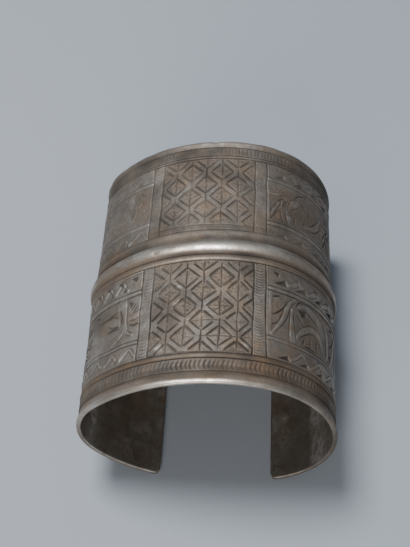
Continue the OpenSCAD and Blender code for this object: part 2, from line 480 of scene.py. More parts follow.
# Friezes and raised lines of the side panels, with the numbers in the order of the functions above.
# They start beside the ladders and run on to the ends of the cuff.
sides = {
    "lower": {
        "lines": [
            (17, 71.8, [(13.4, 0.4, 0.2), (14.4, 0.42, 0.22), (27.6, 0.5, 0.26), (28.9, 0.5, 0.26),
                        (34, 0.34, 0.14)], 0.05, 31),
            (-14.6, -67.6, [(13.2, 0.52, 0.25), (14.2, 0.52, 0.25), (27.6, 0.56, 0.28),
                            (29, 0.56, 0.28), (34.1, 0.36, 0.16)], 0.05, 32),
        ],
        "teeth": [
            (22.3, 8.9, 1.5, 3.2, 6.2, 33), (21.7, 29.9, 1.9, 3.7, 6.05, 34),
            (19.5, 33.5, -1.8, 1.3, 5.95, 35), (-16.5, 33.5, -1.9, 1.9, 4.3, 36, 0.9),
            (-19.5, 29.8, 2.2, 2.1, 4.3, 37, 0.95), (-20.1, 9.2, 1.9, 2.3, 5.4, 38, 0.9),
        ],
        "hollows": [
            ([(25.1, 24.6), (28.1, 25.1), (27.9, 23.2), (26.6, 22.7)], 0.34),
            ([(-18.7, 26.8), (-16.9, 25.6), (-17.9, 23.8)], 0.25),
            ([(-27.4, 22.8), (-27, 23.3), (-26.7, 22.9)], 0.2),
        ],
        "zigzags": [
            (21.7, 30.4, 32.5, 6.05, 0.6, 39), (-23.8, 30.2, 33, 4.3, 0.36, 40, 0.17, 0.4),
            (22.3, 9.4, 12.3, 6.2, 0.35, 47), (-20.7, 9.5, 12, 5.4, 0.34, 48, 0.13, 0.36),
        ],
        "ridges": [
            (17.3, 72, [(13.9, 0.2, 0.05), (28.25, 0.3, 0.07)], 61),
            (-15, -67.6, [(13.7, 0.2, 0.09), (28.3, 0.3, 0.12), (34.5, 0.15, 0.08)], 62),
        ],
        "scallops": [],
    },
    "upper": {
        "lines": [
            (16.4, 71.8, [(48.3, 0.5, 0.26), (49.7, 0.5, 0.26), (63.4, 0.5, 0.24),
                          (64.8, 0.5, 0.24)], 0.05, 41),
            (-14.8, -67.6, [(49.4, 0.5, 0.24), (50.8, 0.5, 0.24), (63.3, 0.5, 0.24),
                            (64.7, 0.5, 0.24)], 0.05, 42),
        ],
        "teeth": [
            (21.6, 45.1, 1.5, 3.2, 6, 43), (21.4, 65.1, 1.6, 3.4, 6.1, 44),
            (19.6, 68.2, -0.9, 0.8, 6.3, 54), (-21.5, 45.3, 1.5, 1.8, 5.6, 45),
            (-19.2, 65.1, 1.3, 2.2, 5.8, 46),
        ],
        "hollows": [
            ([(-22.4, 46.3), (-21.6, 47.6), (-21.2, 46.4)], 0.3),
            ([(25.9, 66.6), (26.4, 67.4), (27.2, 66.5)], 0.25),
            ([(18.9, 61.2), (19.5, 61.9), (20, 61.2)], 0.25),
        ],
        "zigzags": [
            (21.6, 45.5, 47.3, 6, 0.28, 49, 0.06), (-21.5, 45.6, 48.5, 5.6, 0.3, 50, 0.08, 0.36),
            (-26.6, 65.4, 68.5, 5.8, 0.3, 53, 0.06, 0.32),
        ],
        "ridges": [
            (16.9, 72, [(49, 0.3, 0.09), (64.1, 0.3, 0.05)], 63),
            (-15.2, -67.6, [(50.1, 0.3, 0.12), (64, 0.25, 0.12), (69.05, 0.15, 0.08)], 64),
        ],
        "scallops": list(np.arange(24.6, 70, 6.1)),
    },
}

# One scallop of the upper frieze: curve, width and depth
scallop = [([(-1.8, 66), (-0.9, 66.7), (0, 66.3), (0.9, 64.9), (2.2, 65.1), (3.3, 66.2)], 0.6, 0.26),
           ([(-2.6, 67.5), (0, 68.7), (2.8, 68.6)], 0.5, 0.2)]


def sideWork(level):
    side = sides[level]
    strokes = [cut for row in side["lines"] for cut in bandLines(*row)]
    hollows = [tooth for row in side["teeth"] for tooth in sawTeeth(*row)]
    hollows += [punched(corners, deep) for corners, deep in side["hollows"]]
    ribbons = [ribbon for row in side["zigzags"] for ribbon in zigzag(*row)]
    ribbons += [ridge for row in side["ridges"] for ridge in ridges(*row)]
    for x in side["scallops"]:
        for curve, width, deep in scallop:
            strokes.append(stroke([(x + dx, y) for dx, y in curve], width, deep, 0.3))
    for f in ribbons:
        strokes += f["sides"]
    return strokes, hollows, ribbons


# Brown and golden stains in the tarnish: x, y, reach, strength
stains = [
    (1.1, 25.7, 2.2, 0.9), (5.4, 21.4, 2.4, 0.9), (5.4, 29.3, 2.6, 0.8), (0.9, 18.1, 2.4, 0.8),
    (10.1, 21.7, 2.4, 0.7), (9.8, 10, 2.8, 1), (0.3, 9.6, 2, 0.6), (1.6, 31, 2, 0.6),
    (9, 26, 2.5, 0.5), (19.5, 22.5, 2.4, 0.8), (23.6, 18.5, 1.5, 0.9), (29.6, 16.8, 2.4, 0.8),
    (24, 12, 3.5, 0.6), (-23.5, 22.3, 1.6, 0.7), (-20.5, 10.6, 2, 0.4),
    (-16.5, 20.5, 2, 0.5), (0.6, 52.6, 2.2, 1), (4.9, 56.8, 2, 1), (3.9, 48.8, 2.4, 0.9),
    (-3.8, 65.8, 2, 0.7), (-6.7, 60.6, 2.2, 0.6), (10.4, 65.6, 2.2, 0.6), (9.5, 53, 2.4, 0.5),
    (19.9, 52.4, 1.6, 1), (-17.5, 57.5, 3.4, 0.6), (25, 58, 4.5, 0.5), (16, 5.5, 9, 0.9),
    (7, 5.2, 6, 0.6), (30, 6.4, 7, 0.6), (-4, 37.9, 7, 0.7), (-26, 39, 9, 0.9),
    (30, 39.8, 8, 0.6), (-60.5, 18, 5, 0.9), (-68, 30, 4, 0.6),
    (73, 19, 4, 0.8), (66, 60, 6, 0.6), (-50, 55, 8, 0.6), (50, 25, 7, 0.6),
    (-44, 28, 7, 0.5), (55, 58, 6, 0.7),
]

# The same inside the cuff, then the lighter places there: rubbed spots and painted light
insideStains = [
    (-63, 20, 5.5, 1), (-70.3, 22, 2, 1), (-60, 30, 6, 0.7), (-52, 12, 5, 0.5),
    (74.5, 21, 3.6, 1), (71, 14, 3.5, 0.8), (72, 30, 6, 0.8), (62, 8, 4, 0.4), (-66, 5, 3, 0.5),
    (-64, 50, 9, 0.7), (68, 58, 9, 0.8), (-30, 30, 14, 0.5), (30, 40, 14, 0.5),
]
insideRubbedAndLit = [
    (-57, 14, 2.2, 0.6), (-47, 8, 5, 0.6), (-66, 12, 2.5, 0.3), (75.8, 10, 1.6, 0.75),
    (75, 3.2, 2.2, 0.6), (73, 17, 2, 0.5), (-70, 8, 1.5, 0.5), (-62, 3, 3, 0.4),
    (-55, 45, 7, 0.4), (60, 52, 7, 0.4),
]

# Places of the outer face that are rubbed bright, some of them painted highlights on the straps
rubbedAndHighlights = [
    (-20.6, 45.7, 0.9, 1), (-19.2, 10, 0.9, 0.8), (-20.3, 25.4, 1.5, 0.5),
    (22.9, 52.6, 1.2, 0.35), (25, 57.6, 2, 0.2), (-22, 61, 2.2, 0.25),
    (-22.6, 33, 1.2, 0.35), (-25.4, 32, 1.4, 0.35), (-5, 22.3, 1.7, 0.5),
    (-8.4, 9.9, 1.5, 0.6), (-4.4, 27.6, 1.6, 0.3), (11.5, 10.4, 1.5, 0.4), (-13, 66.5, 3.5, 0.3),
    (-13.2, 18, 4, 0.12), (15, 22, 4, 0.12), (-30, 16.5, 5, 0.25),
]


def spots(x, y, table):
    total = np.zeros(len(x))
    ragged = 0.5 * waviness(x, y, 1.6, 15) + 0.35 * waviness(x, y, 0.7, 16)
    for cx, cy, reach, strength in table:
        away = np.hypot(x - cx, y - cy) / reach
        total = np.maximum(total, strength * unit(1.5 - 1.5 * away + ragged) * (away < 1.6))
    return total


floorDepth, slabBottom, deepestCut = -0.45, -0.6, -0.42
panelEnds = (-68, 72.5)
nearRows, lowerRows, upperRows, farRows = (3.3, 6.75), (8.25, 34.85), (44.7, 69.4), (70.35, 73.3)
lip = 0.01  # the floor under a panel ends this far inside the panel's edges

# Each engraved panel is a fine grid, closed underneath, let into the body
panels = {
    "lowerLattice": {"x": (-14.6, 17.2), "y": lowerRows, "cell": 0.125, "wear": 0, "plain": 0.1},
    "lowerLeftBand": {"x": (panelEnds[0], -14.6), "y": lowerRows, "cell": 0.17, "wear": 0.17},
    "lowerRightBand": {"x": (17.2, panelEnds[1]), "y": lowerRows, "cell": 0.17, "wear": 0.15},
    "upperLattice": {"x": (-14.8, 16.4), "y": upperRows, "cell": 0.125, "wear": 0, "plain": 0.09,
                     "keen": 0.78},
    "upperLeftBand": {"x": (panelEnds[0], -14.8), "y": upperRows, "cell": 0.17, "wear": 0.16,
                      "keen": 0.6},
    "upperRightBand": {"x": (16.4, panelEnds[1]), "y": upperRows, "cell": 0.17, "wear": 0.12,
                       "keen": 0.8},
    "nearBorder": {"x": panelEnds, "y": nearRows, "cell": 0.17, "wear": 0.02},
    "farBorder": {"x": panelEnds, "y": farRows, "cell": 0.17, "wear": 0},
}

# Both levels of panels: the lattice's box, where foliage stands on a darker ground (from y to y, left
# of the first x and right of the second), cut edges, dulled bands, and the places of the foliage
levels = {
    "lower": {"within": (-11.5, 13.3, 8.4, 34.7), "groundBand": (14.6, 27.9), "beside": (-14.9, 17.9),
              "edges": [(8.25, 0.4, 0.17), (34.85, 0.44, 0.22)], "dull": [],
              "foliage": [(lowerRightFoliage, (0, 20.5, 37)), (lowerLeftFoliage, (0, -16.5, -34))]},
    "upper": {"within": (-11.7, 13.2, 46.5, 69.3), "groundBand": (50.2, 62.8), "beside": (-15.1, 17.2),
              "edges": [(44.95, 0.44, 0.16), (69.4, 0.44, 0.22)], "dull": [(44.8, 46.9, 0.55)],
              "foliage": [(upperRightFoliage, (0, 19, 36)), (upperLeftFoliage, (0, -14, -28))]},
}
edgeFrom, edgeTo = -68.2, 72.7


def levelWork(level):
    # everything that is cut, punched or raised on one level
    work = dict(levels[level])
    strokes, work["diamonds"] = latticeCuts(lattices[level])
    for ladder in ladders[level]:
        strokes += ladderCuts(ladder)
    sideStrokes, work["hollows"], work["leaves"] = sideWork(level)
    strokes += sideStrokes
    for motif, shifts in work["foliage"]:
        for shift in shifts:
            leaves, cuts = foliage(motif, shift)
            work["leaves"] += leaves
            strokes += cuts
    work["strokes"] = strokes
    work["borders"] = bandLines(edgeFrom, edgeTo, work["edges"], 0)
    return work


# The hatched borders: cut lines, dulled bands, and how much wear has left of the near one's crescents
borders = {
    "lines": [(3.3, 0.42, 0.12), (6.75, 0.5, 0.2), (70.35, 0.44, 0.15), (73.3, 0.4, 0.12)],
    "dull": [(3, 4.9, 0.5), (4.9, 7, 0.2), (70, 74, 0.22)],
    "from": -67.5, "to": 72, "seed": 51,
    "crescent": {"points": [(0.5, 3.6), (0, 4.8), (0.45, 6.4)], "width": (0.42, 0.62),
                 "deep": (0.16, 0.26), "taper": 0.3, "dirt": (0.8, 1), "spacing": (0.95, 1.2)},
    "tick": {"points": [(0, 70.7), (0.1, 73)], "width": 0.45,
             "deep": (0.06, 0.12), "taper": 0.3, "dirt": (0.15, 0.45), "spacing": (0.85, 1.15)},
    "keenAt": [-67, -45, -40, -30, -24, -15, -11, -8, -6, 3, 5, 9, 10.5, 12, 13, 15, 16, 18.5, 19.5, 24,
               34, 40, 72],
    "keen": [0.7, 0.7, 0.5, 0.8, 0.6, 0.7, 0.3, 0.5, 1, 1, 0.6, 0.75, 0.2, 0.3, 0.8, 0.8, 0.35, 0.35,
             1, 0.9, 0.7, 0.4, 0.7],
}


def borderWork():
    rnd = random.Random(borders["seed"])
    hatch = []
    cut, x = borders["crescent"], borders["from"]
    while x < borders["to"]:
        keen = float(np.interp(x, borders["keenAt"], borders["keen"]))
        hatch.append(stroke([(x + dx, y) for dx, y in cut["points"]], rnd.uniform(*cut["width"]),
                            rnd.uniform(*cut["deep"]) * keen, cut["taper"],
                            rnd.uniform(*cut["dirt"]) * keen))
        x += rnd.uniform(*cut["spacing"])
    cut, x = borders["tick"], borders["from"]
    while x < borders["to"]:
        hatch.append(stroke([(x + dx, y) for dx, y in cut["points"]], cut["width"],
                            rnd.uniform(*cut["deep"]), cut["taper"], rnd.uniform(*cut["dirt"])))
        x += rnd.uniform(*cut["spacing"])
    return {"strokes": hatch, "borders": bandLines(edgeFrom, edgeTo, borders["lines"], 0),
            "dull": borders["dull"]}


def finishPiece(name, mesh, flat, marks, materials):
    mesh.vertices.foreach_set("co", rollUp(flat).ravel())
    for key, values in marks.items():
        layer = mesh.attributes.new(key, "FLOAT", "POINT")
        layer.data.foreach_set("value", np.asarray(values, dtype=np.float32))
    mesh.shade_smooth()
    mesh.update()
    for material in materials:
        mesh.materials.append(material)
    piece = bpy.data.objects.new(name, mesh)
    bpy.context.scene.collection.objects.link(piece)
    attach(piece, "root")
    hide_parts("cuff")
    return piece


def flatPoints(mesh):
    flat = np.zeros(len(mesh.vertices) * 3)
    mesh.vertices.foreach_get("co", flat)
    return flat.reshape(-1, 3)


def slabMesh(name, p):
    # a fine grid for the face, with a skirt and a plain underside cut into strips that can bend
    (x0, x1), (y0, y1) = p["x"], p["y"]
    columns, rows = round((x1 - x0) / p["cell"]), round((y1 - y0) / p["cell"])
    bm = bmesh.new()
    bmesh.ops.create_grid(bm, x_segments=columns, y_segments=rows, size=1)
    bmesh.ops.scale(bm, vec=((x1 - x0) / 2, (y1 - y0) / 2, 1), verts=bm.verts)
    bmesh.ops.translate(bm, vec=((x0 + x1) / 2, (y0 + y1) / 2, 0), verts=bm.verts)
    faceCount = len(bm.verts)
    rim = [e for e in bm.edges if e.is_boundary]
    for e in rim:
        e.smooth = False
    rimPoints = sorted({v.index for e in rim for v in e.verts})
    skirt = bmesh.ops.extrude_edge_only(bm, edges=rim)["geom"]
    skirtVerts = [g for g in skirt if isinstance(g, bmesh.types.BMVert)]
    bmesh.ops.translate(bm, vec=(0, 0, slabBottom), verts=skirtVerts)
    under = bmesh.ops.edgeloop_fill(bm, edges=[e for e in bm.edges if e.is_boundary])["faces"]
    strip = 8  # columns of the grid to one strip
    for k in range(1, columns // strip):
        cutAt = x0 + (x1 - x0) * strip * k / columns
        geom = list(dict.fromkeys(e for f in under for e in f.edges)) + under
        sliced = bmesh.ops.bisect_plane(bm, geom=geom, dist=1e-4, plane_co=(cutAt, 0, 0),
                                        plane_no=(1, 0, 0))
        under = [g for g in sliced["geom"] if isinstance(g, bmesh.types.BMFace)
                 and g.calc_center_median().x > cutAt]
    bmesh.ops.recalc_face_normals(bm, faces=bm.faces)
    mesh = bpy.data.meshes.new(name)
    bm.to_mesh(mesh)
    bm.free()
    return mesh, faceCount, rimPoints


# What the face of a panel takes on: heights in mm, dirt and wear as shares, the wear with some painted
# highlights
surface = {
    "sway": 0.16, "groundDepth": 0.09, "stippleDepth": 0.09, "stippleSize": 0.36, "stippleDirt": 0.75,
    "leftGround": 0.45,  # the darker ground is fainter on the left
    "wearOfHeight": 1.3, "spotsBrighten": 0.7, "wearRange": (0.02, 0.8),
}


def makePanel(name, work, materials):
    p = panels[name]
    mesh, faceCount, rimPoints = slabMesh(name, p)
    flat = flatPoints(mesh)
    face = flat[:faceCount, :2]
    x, y = face.T
    depth, dirt, height, clean, ground, plain = np.zeros((6, faceCount))
    sway = surface["sway"] * np.stack([waviness(x, y, 3.7, 21), waviness(x, y, 4.1, 22)], -1)
    where = face + sway  # no line is quite straight
    u, v = where.T
    raiseLeaves(where, work.get("leaves", []), height, clean)
    punchHollows(where, work.get("hollows", []), depth, dirt)
    cutStrokes(where, work["strokes"], depth, dirt)
    cutStrokes(face, work["borders"], depth, dirt)
    for low, high, amount in work["dull"]:
        dirt = np.maximum(dirt, amount * unit(np.minimum(y - low, high - y) / 0.4))
    keen = p.get("keen", 1)
    depth *= keen
    height *= keen
    cloudy = 0.82 + 0.3 * waviness(x, y, 4.3, 23) + 0.15 * waviness(x, y, 1.3, 24)
    dirt *= keen * np.clip(cloudy, 0.3, 1)
    for cx, cy, halfX, halfY, shade in work.get("diamonds", []):
        inside = np.clip(1 - np.abs(u - cx) / halfX - np.abs(v - cy) / halfY, 0, 0.12) / 0.12
        ground = np.maximum(ground, inside * (0.3 + 0.7 * shade))
    if "within" in work:
        x0, x1, y0, y1 = work["within"]
        edge = np.minimum(np.minimum(u - x0, x1 - u), np.minimum(v - y0, y1 - v))
        ground *= unit(edge / 0.2)
        plain = unit(np.maximum(x0 - u, u - x1) / 0.3) * p.get("plain", 0)
        (low, high), (left, right) = work["groundBand"], work["beside"]
        band = unit(np.minimum(v - low, high - v) / 0.3) * unit(np.maximum(left - u, u - right) / 0.3)
        band *= np.where(x < 0, surface["leftGround"], 1)
        ground = np.maximum(ground, band * (1 - clean) * (0.55 + 0.45 * waviness(x, y, 3.1, 9)))
    stipple = ground * unit(waviness(x, y, surface["stippleSize"], 10) + 0.1)
    level = hammered(x, y, sheetWaves) + height
    level = level - surface["groundDepth"] * ground - surface["stippleDepth"] * stipple
    dirt = np.maximum(dirt, surface["stippleDirt"] * stipple)
    z = np.maximum(level - depth, deepestCut)
    z[rimPoints] = np.minimum(z[rimPoints], 0)
    flat[:faceCount, 2] = z
    marks = {key: np.zeros(len(flat)) for key in ("dirt", "ground", "wear", "rust")}
    marks["rust"][:faceCount] = spots(x, y, stains)
    marks["dirt"][:faceCount] = dirt
    marks["ground"][:faceCount] = unit(ground + 0.5 * stipple)
    wear = p["wear"] + plain + surface["wearOfHeight"] * level
    wear = wear + surface["spotsBrighten"] * spots(x, y, rubbedAndHighlights)
    marks["wear"][:faceCount] = np.clip(wear, *surface["wearRange"]) * (1 - 0.5 * dirt)
    return finishPiece(name, mesh, flat, marks, materials)


# The body is one piece: rims, plain bands, fillets, rib and the inner wall
body = {
    "ribNear": 37, "ribFar": 41.6, "ribRise": 1, "ribPoints": 21,
    "nearCove": [(2.15, 0.02), (2.45, -0.05), (2.75, -0.1), (3.05, -0.13), (3.3, -0.2)],
    "farCove": [(73.3, -0.2), (73.42, -0.04), (73.55, 0.03)],
    # Fillets from the near rim to the far one: from, to, foot, rise and number of points
    "fillets": [(6.98, 7.95, 0.04, 0.12, 6), (35.05, 36.5, 0.04, 0.14, 8),
                (42.8, 44.5, 0.03, 0.13, 9), (69.62, 70.12, 0.03, 0.1, 5)],
    "innerPoints": 80, "innerSide": -0.88,  # all below this height is the inner face
    "station": 0.55,
    "leftClosing": [0.1, 0.25, 0.6, 1.1, 1.7, 2.4],  # stations where the ends are rounded
    "rightClosing": [0.1, 0.25, 0.6, 1.1, 1.7], "beforeRight": [73.2, 74.2],
    "dents": [(-11.5, 38.6, 0.55, 0.16), (3.3, 0.5, 0.7, 0.1), (2.3, 74.9, 0.8, 0.15),
              (-26, 74.6, 1.2, 0.12), (14, 1, 1.5, 0.08), (-34, 74.6, 1.4, 0.12)],
    # Rim from the inner face over the edge to the sheet: distance from the edge, height
    "rim": [(0.42, -0.9), (0.2, -0.86), (0.06, -0.74), (0, -0.55), (0, -0.28), (0.015, -0.12),
            (0.05, 0), (0.11, 0.09), (0.19, 0.155), (0.3, 0.21), (0.45, 0.255), (0.62, 0.285),
            (0.85, 0.29), (1.1, 0.25), (1.4, 0.18), (1.8, 0.09)],
    "chip": (2.3, 0.6, 0.35),  # the large chip in the far rim: place, reach, depth
    "nibbles": (0.16, 2.4),  # its small ones: depth, size
    "endRounding": ([0, 0.1, 0.25], [0.78, 0.94, 1]),  # share of the thickness close to the ends
    "proudWaves": 0.6, "wornDown": 0.045,  # rims and rib are smoother, and only worn down
}

# Tones of the body as places and values: from rim to rim, and for the last two the way round
tones = {
    "wear": ([0, 0.45, 0.8, 1.2, 2.5, 8, 34.9, 35.3, 35.8, 36.8, 37.2, 37.6,
              38, 39, 39.7, 40.5, 41.3, 41.8, 42.6, 43.2, 43.7, 44.5, 44.8, 69.5, 69.9, 70.3,
              73.3, 74.2, 75, 75.5],
             [1, 1, 0.5, 0.04, 0, 0, 0.16, 0.34, 0.04, 0, 0.1, 0.45,
              0.95, 1, 0.8, 0.7, 0.55, 0.1, 0, 0.04, 0.17, 0.17, 0, 0, 0.05, 0,
              0, 0.1, 0.2, 0.3]),
    "soot": ([0, 0.9, 1.4, 2.2, 3.3, 6.9, 8.2, 35.4, 36, 36.6, 37.3, 37.7, 41.3, 41.9, 42.5, 43,
              44.6, 45.2, 69.4, 70.3, 73.3, 75.5],
             [0, 0, 0.2, 0.45, 0.5, 0.2, 0.3, 0.1, 0.3, 0.75, 0.7, 0, 0, 0.6, 0.6, 0.15,
              0.05, 0.2, 0.2, 0.2, 0.2, 0.1]),
    "brown": ([2, 2.7, 3.3, 6.7, 7.4, 8.2, 35.6, 36.2, 37.3, 37.8, 38.2, 41.5, 42, 42.6],
              [0, 0.3, 0.35, 0.3, 0, 0.2, 0.1, 0.9, 0.9, 0.5, 0, 0, 0.4, 0.2]),
    "besideRib": ([36.2, 36.6, 37.3, 37.7], [0, 1, 1, 0]),
    "ribTop": ([36.8, 38, 38.8, 40.9, 41.6], [0, 0.4, 1, 1, 0]),
    "ribFoot": ([36.8, 37.2, 38.4], [0.7, 0.7, 0]),
    "ribBack": ([38.7, 39.5, 41.5, 41.8], [0, 1, 1, 0]),
    "ribBrown": ([36.8, 37.5, 38.3, 39.3], [0.6, 0.8, 0.5, 0]),
    # painted highlight and shade on the near rim: brighter on both sides of the crown, dull and darker
    # towards the ends
    "rimLightAndShade": ([-46, -38, -34, -26, -12, -5, 3, 8, 20, 28, 38, 46],
                [-0.55, -0.35, 0.2, 0.35, 0.25, 0, -0.1, 0.2, 0.3, 0.15, 0, -0.3]),
    # painted light on the inner wall: lighter and darker bands the way round
    "innerWall": ([-71, -69, -68, -66, -58, -50, 0, 40, 50, 64, 64.6, 68.5, 70, 77],
                  [0.3, 0.35, 0.1, 0.25, 0.2, 0.35, 0.3, 0.6, 0.65, 0.6, 0, 0.05, 0.3, 0.35]),
}


def tone(name, at):
    return np.interp(at, *tones[name])


def filletPoints(y0, y1, foot, rise, count):
    # points along a low arc
    ts = np.linspace(0, 1, count)
    return [(y0 + (y1 - y0) * t, foot + rise * (1 - (2 * t - 1) ** 2)) for t in ts]


def floorPoints(rows, *between):
    return [(y, floorDepth) for y in (rows[0] + lip, *between, rows[1] - lip)]


def bodyOutline():
    # the outer face from the near rim to the far one, then the inner face back
    near, far, rise = body["ribNear"], body["ribFar"], body["ribRise"]
    length, rim = section["length"], body["rim"]
    radius = ((far - near) ** 2 / 4 + rise ** 2) / (2 * rise)
    half = 0.97 * math.asin((far - near) / 2 / radius)
    rib = [((near + far) / 2 + radius * math.sin(a), rise - radius + radius * math.cos(a))
           for a in np.linspace(-half, half, body["ribPoints"])]
    nearFillet, underRib, overRib, farFillet = [filletPoints(*row) for row in body["fillets"]]
    outer = rim + body["nearCove"] + floorPoints(nearRows)
    outer += [(6.75, -0.28)] + nearFillet + [(8.25, -0.22)] + floorPoints(lowerRows, 21)
    outer += [(34.85, -0.22)] + underRib + [(36.78, -0.26)] + rib
    outer += [(41.75, -0.26), (42.2, -0.3)] + overRib + [(44.7, -0.05)] + floorPoints(upperRows, 57)
    outer += [(69.4, -0.22)] + farFillet + [(70.35, -0.24)] + floorPoints(farRows) + body["farCove"]
    outer += [(length - py, pz) for py, pz in reversed(rim)]
    inner = [(y, -section["wall"]) for y in np.linspace(length - 1.4, 1.4, body["innerPoints"])]
    return outer, inner


def drawBody():
    # the outline is drawn along the flat sheet from end to end, and both ends are closed
    outer, inner = bodyOutline()
    loop = outer + inner
    first, last = panelEnds
    count = int((last - first - lip) / body["station"])
    stops = [-leftEnd] + [-leftEnd + d for d in body["leftClosing"]] + [first, first + lip]
    stops += list(np.linspace(first + lip, last - lip, count))[1:] + [last] + body["beforeRight"]
    stops += [rightEnd - d for d in reversed(body["rightClosing"])] + [rightEnd]
    bm = bmesh.new()
    verts = [bm.verts.new((stops[0], y, z)) for y, z in loop]
    edges = [bm.edges.new((a, b)) for a, b in zip(verts, verts[1:] + verts[:1])]
    firstLoop = edges
    for a, b in zip(stops, stops[1:]):
        drawn = bmesh.ops.extrude_edge_only(bm, edges=edges)["geom"]
        verts = [g for g in drawn if isinstance(g, bmesh.types.BMVert)]
        edges = [g for g in drawn if isinstance(g, bmesh.types.BMEdge)
                 and abs(g.verts[0].co.x - g.verts[1].co.x) < 1e-6 and g.is_boundary]
        bmesh.ops.translate(bm, vec=(b - a, 0, 0), verts=verts)
    caps = [f for ring in (firstLoop, edges) for f in bmesh.ops.edgeloop_fill(bm, edges=ring)["faces"]]
    bmesh.ops.triangulate(bm, faces=caps)
    bmesh.ops.recalc_face_normals(bm, faces=bm.faces)
    for f in bm.faces:
        f.material_index = int(all(v.co.z < body["innerSide"] for v in f.verts))
    for e in bm.edges:
        lengthwise = abs(e.verts[0].co.x - e.verts[1].co.x) > 1e-4
        e.smooth = not (lengthwise and e.is_manifold and e.calc_face_angle() > 0.9)
    mesh = bpy.data.meshes.new("cuffBody")
    bm.to_mesh(mesh)
    bm.free()
    return mesh


def bodyMarks(x, y, z, inner, edge):
    # where the body is sooty, brown, worn bright or stained, and where highlights and shade are painted
    pitX, pitY = body["dents"][0][:2]
    outside, leftwards = ~inner, unit((-x - 10) / 8)
    dirt = unit(-z / 0.2) * unit(edge - 0.9) * outside
    dirt *= np.where(y > 41, unit(0.35 + 0.02 * np.abs(x - 2)), 0.9)  # the crown is rubbed most
    soot = tone("soot", y) * (0.8 + 0.4 * waviness(x, y, 3, 25))
    soot *= 1 - 0.8 * tone("besideRib", y) * leftwards
    dirt = np.maximum(dirt, soot * outside)
    dirt = np.maximum(dirt, 0.9 * unit(1.4 - 2.2 * np.hypot(x - pitX, y - pitY)))
    streak = waviness(x * 0.18, y, 0.5, 18)
    onRib = tone("ribTop", y)
    worn_and_lit = tone("wear", y) * (0.85 + 0.15 * waviness(x, y, 4, 14))
    fade = np.where(x > 0, 0.026 * (x - 8), 0.019 * (-x - 8))  # painted shade, duller down both sides
    worn_and_lit *= 1 - 0.35 * onRib * unit(streak) - onRib * np.clip(fade, 0, 0.6)
    # painted shade: the rib's near foot duller away from the crown, most on the right, and its back
    # darker down both sides
    worn_and_lit *= 1 - tone("ribFoot", y) * unit(np.abs(x) / 16 - 0.3) * np.where(x < 0, 0.4, 1)
    ribBack = tone("ribBack", y) * outside
    dirt = np.maximum(dirt, 0.42 * ribBack * unit((np.abs(x) - 9) / 12))
    nearRim, farRim = unit((2.6 - y) / 0.4) * outside, unit((y - 73.3) / 0.4) * outside
    # painted highlight and shade along the near rim, put into the wear and dirt marks
    rimLightAndShade = tone("rimLightAndShade", x)
    worn_and_lit += nearRim * rimLightAndShade * np.where(rimLightAndShade > 0, 1, np.clip(y / 0.4, 0.6, 1))
    dirt = np.maximum(dirt, -0.9 * nearRim * np.minimum(rimLightAndShade + 0.1, 0))
    # painted highlight on the far rim about the crown, and painted shade on its right side
    worn_and_lit += 0.2 * farRim * unit(1 - np.abs(x - 4) / 15)
    dirt = np.maximum(dirt, 0.35 * farRim * unit((x - 16) / 8))
    ribBrown = tone("ribBrown", y) * (0.6 + 0.5 * streak)
    ribBrown *= 1 + 0.6 * unit((-x - 4) / 8)
    # painted light inside the cuff: the inner wall made lighter, with darker bands and the rubbed
    # places
    wall = tone("innerWall", x) + 0.25 * waviness(x, y, 6, 12)
    wall += 0.2 * waviness(x * 4, y, 9, 17) + 0.7 * spots(x, y, insideRubbedAndLit)
    deepInside = (z < body["innerSide"]) & (edge > 0.3)
    rust = np.where(inner, spots(x, y, insideStains), np.maximum(spots(x, y, stains), ribBrown))
    return {"dirt": dirt, "ground": tone("brown", y) * outside,
            "wear": np.clip(np.where(deepInside, wall, worn_and_lit), 0, 1.15), "rust": unit(rust)}


def makeBody(materials):
    mesh = drawBody()
    x, y, z = flatPoints(mesh).T.copy()
    inner = z < -0.6
    panelFloor = np.abs(z - floorDepth) < 1e-4
    atEnds = (x <= panelEnds[0] + 1e-6) | (x >= panelEnds[1] - 1e-6)
    z = np.where(panelFloor & atEnds, 0, z)
    level = np.where(inner, hammered(x, y, wallWaves), hammered(x, y, sheetWaves))
    proud = np.interp(z, [0, 0.2], [0, 1])
    level = level * (1 - (1 - body["proudWaves"]) * proud) - body["wornDown"] * proud
    z = np.where(panelFloor & ~atEnds, z, z + level)
    nearEnd = np.minimum(x + leftEnd, rightEnd - x)
    middle = -section["wall"] / 2
    z = middle + (z - middle) * np.interp(nearEnd, *body["endRounding"])
    for cx, cy, reach, deep in body["dents"]:
        z -= deep * np.exp(-((x - cx) ** 2 + (y - cy) ** 2) / reach ** 2) * ~inner
    at, reach, deep = body["chip"]
    nibble, size = body["nibbles"]
    lost = nibble * unit(waviness(x, x * 0, size, 26) + 0.1) + deep * np.exp(-((x - at) / reach) ** 2)
    y = y - lost * unit((y - 74.2) / 1.3)
    edge = np.minimum(np.minimum(y, section["length"] - y), nearEnd)  # rims and ends stay rubbed clean
    marks = bodyMarks(x, y, z, inner, edge)
    return finishPiece("cuffBody", mesh, np.stack([x, y, z], -1), marks, materials)


def node(tree, kind, **values):
    n = tree.nodes.new(kind)
    for key, value in values.items():
        if key in n.inputs:
            n.inputs[key].default_value = value
        else:
            setattr(n, key, value)
    return n


def feed(tree, socket, value):
    # a socket takes a number, a colour or another socket
    if isinstance(value, (int, float)):
        socket.default_value = value
    elif isinstance(value, tuple):
        socket.default_value = (*value, 1)
    else:
        tree.links.new(value, socket)


def maths(tree, operation, a, b, clamp=False):
    n = node(tree, "ShaderNodeMath", operation=operation, use_clamp=clamp)
    feed(tree, n.inputs[0], a)
    feed(tree, n.inputs[1], b)
    return n.outputs[0]


def plus(tree, a, b, clamp=False):
    return maths(tree, "ADD", a, b, clamp)


def minus(tree, a, b, clamp=False):
    return maths(tree, "SUBTRACT", a, b, clamp)


